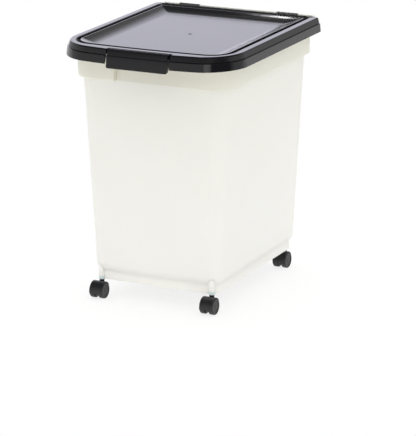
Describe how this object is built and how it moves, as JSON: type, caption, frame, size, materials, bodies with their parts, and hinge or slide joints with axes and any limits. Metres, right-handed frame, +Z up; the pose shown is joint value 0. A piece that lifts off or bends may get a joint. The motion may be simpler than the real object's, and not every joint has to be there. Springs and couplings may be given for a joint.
{
  "type": "pet food bin",
  "caption": "Tall rolling dry pet food bin: tapered translucent tub, dark hinged airtight lid with a front flip latch, on small twin-wheel swivel casters.",
  "frame": {"origin": "on the floor, under the middle of the whole bin's bounding box", "axes": "+Z up, -Y towards the latch side (the front), +X to the right of someone facing the front"},
  "size_m": [0.399, 0.475, 0.543],
  "materials": {
    "tub_plastic": "natural translucent polypropylene, satin moulded, milky white",
    "lid_plastic": "glossy black moulded polypropylene",
    "gasket_rubber": "soft pale grey sealing rubber",
    "caster_plastic": "black moulded nylon, satin",
    "wheel_plastic": "black moulded nylon wheel, slightly worn tread",
    "zinc_steel": "bright zinc-plated steel"
  },
  "bodies": {
    "root": {"tub": "tub_plastic", "caster_fl_stem": "zinc_steel", "caster_fl_grip_ring": "zinc_steel", "caster_fr_stem": "zinc_steel", "caster_fr_grip_ring": "zinc_steel", "caster_rl_stem": "zinc_steel", "caster_rl_grip_ring": "zinc_steel", "caster_rr_stem": "zinc_steel", "caster_rr_grip_ring": "zinc_steel"},
    "lid": {"lid": "lid_plastic", "lid_gasket": "gasket_rubber"},
    "latch": {"latch": "lid_plastic"},
    "caster_fl": {"caster_fl_hood": "caster_plastic", "caster_fl_axle": "zinc_steel"},
    "wheel_fl_left": {"caster_fl_wheel_left": "wheel_plastic"},
    "wheel_fl_right": {"caster_fl_wheel_right": "wheel_plastic"},
    "caster_fr": {"caster_fr_hood": "caster_plastic", "caster_fr_axle": "zinc_steel"},
    "wheel_fr_left": {"caster_fr_wheel_left": "wheel_plastic"},
    "wheel_fr_right": {"caster_fr_wheel_right": "wheel_plastic"},
    "caster_rl": {"caster_rl_hood": "caster_plastic", "caster_rl_axle": "zinc_steel"},
    "wheel_rl_left": {"caster_rl_wheel_left": "wheel_plastic"},
    "wheel_rl_right": {"caster_rl_wheel_right": "wheel_plastic"},
    "caster_rr": {"caster_rr_hood": "caster_plastic", "caster_rr_axle": "zinc_steel"},
    "wheel_rr_left": {"caster_rr_wheel_left": "wheel_plastic"},
    "wheel_rr_right": {"caster_rr_wheel_right": "wheel_plastic"}
  },
  "joints": [
    {"name": "lid_hinge", "type": "hinge", "parent": "root", "child": "lid", "pos_m": [0, 0.229, 0.536], "axis": [-1, 0, 0], "range_deg": [0, 110]},
    {"name": "latch_flip", "type": "hinge", "parent": "lid", "child": "latch", "pos_m": [0, -0.2215, 0.5365], "axis": [-1, 0, 0], "range_deg": [0, 95]},
    {"name": "caster_fl_swivel", "type": "hinge", "parent": "root", "child": "caster_fl", "pos_m": [-0.127, -0.165, 0.03], "axis": [0, 0, 1], "continuous": true},
    {"name": "wheel_fl_left_spin", "type": "hinge", "parent": "caster_fl", "child": "wheel_fl_left", "pos_m": [-0.127, -0.177, 0.0168], "axis": [1, 0, 0], "continuous": true},
    {"name": "wheel_fl_right_spin", "type": "hinge", "parent": "caster_fl", "child": "wheel_fl_right", "pos_m": [-0.127, -0.177, 0.0168], "axis": [1, 0, 0], "continuous": true},
    {"name": "caster_fr_swivel", "type": "hinge", "parent": "root", "child": "caster_fr", "pos_m": [0.127, -0.165, 0.03], "axis": [0, 0, 1], "continuous": true},
    {"name": "wheel_fr_left_spin", "type": "hinge", "parent": "caster_fr", "child": "wheel_fr_left", "pos_m": [0.127, -0.177, 0.0168], "axis": [1, 0, 0], "continuous": true},
    {"name": "wheel_fr_right_spin", "type": "hinge", "parent": "caster_fr", "child": "wheel_fr_right", "pos_m": [0.127, -0.177, 0.0168], "axis": [1, 0, 0], "continuous": true},
    {"name": "caster_rl_swivel", "type": "hinge", "parent": "root", "child": "caster_rl", "pos_m": [-0.127, 0.1838, 0.03], "axis": [0, 0, 1], "continuous": true},
    {"name": "wheel_rl_left_spin", "type": "hinge", "parent": "caster_rl", "child": "wheel_rl_left", "pos_m": [-0.127, 0.1718, 0.0168], "axis": [1, 0, 0], "continuous": true},
    {"name": "wheel_rl_right_spin", "type": "hinge", "parent": "caster_rl", "child": "wheel_rl_right", "pos_m": [-0.127, 0.1718, 0.0168], "axis": [1, 0, 0], "continuous": true},
    {"name": "caster_rr_swivel", "type": "hinge", "parent": "root", "child": "caster_rr", "pos_m": [0.127, 0.1838, 0.03], "axis": [0, 0, 1], "continuous": true},
    {"name": "wheel_rr_left_spin", "type": "hinge", "parent": "caster_rr", "child": "wheel_rr_left", "pos_m": [0.127, 0.1718, 0.0168], "axis": [1, 0, 0], "continuous": true},
    {"name": "wheel_rr_right_spin", "type": "hinge", "parent": "caster_rr", "child": "wheel_rr_right", "pos_m": [0.127, 0.1718, 0.0168], "axis": [1, 0, 0], "continuous": true}
  ]
}
